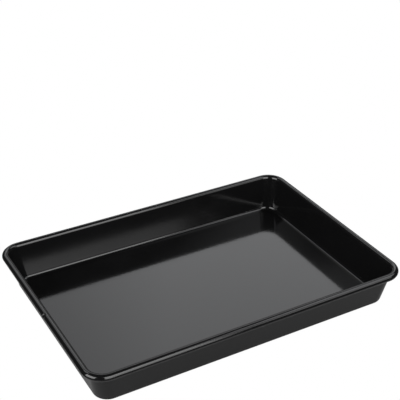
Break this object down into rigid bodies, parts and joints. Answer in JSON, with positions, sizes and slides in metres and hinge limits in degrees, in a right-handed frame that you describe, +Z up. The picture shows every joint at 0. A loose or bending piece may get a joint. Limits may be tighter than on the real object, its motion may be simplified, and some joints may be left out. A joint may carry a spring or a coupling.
{
  "type": "paint roller tray",
  "caption": "Shallow flat-bottomed steel tray with drafted walls, rounded corners and a rolled wired rim, for loading a paint roller.",
  "frame": {"origin": "centre of the underside, on the surface that the tray stands on", "axes": "+Z up out of the open side, +X along the long side, +Y along the short side"},
  "size_m": [0.4, 0.2804, 0.0465],
  "materials": {
    "black_enamel": "high-gloss black enamel over pressed sheet steel",
    "steel_wire": "plain drawn wire, hidden inside the rolled rim"
  },
  "bodies": {
    "root": {"tray_body": "black_enamel", "rim_wire": "steel_wire"}
  },
  "joints": []
}
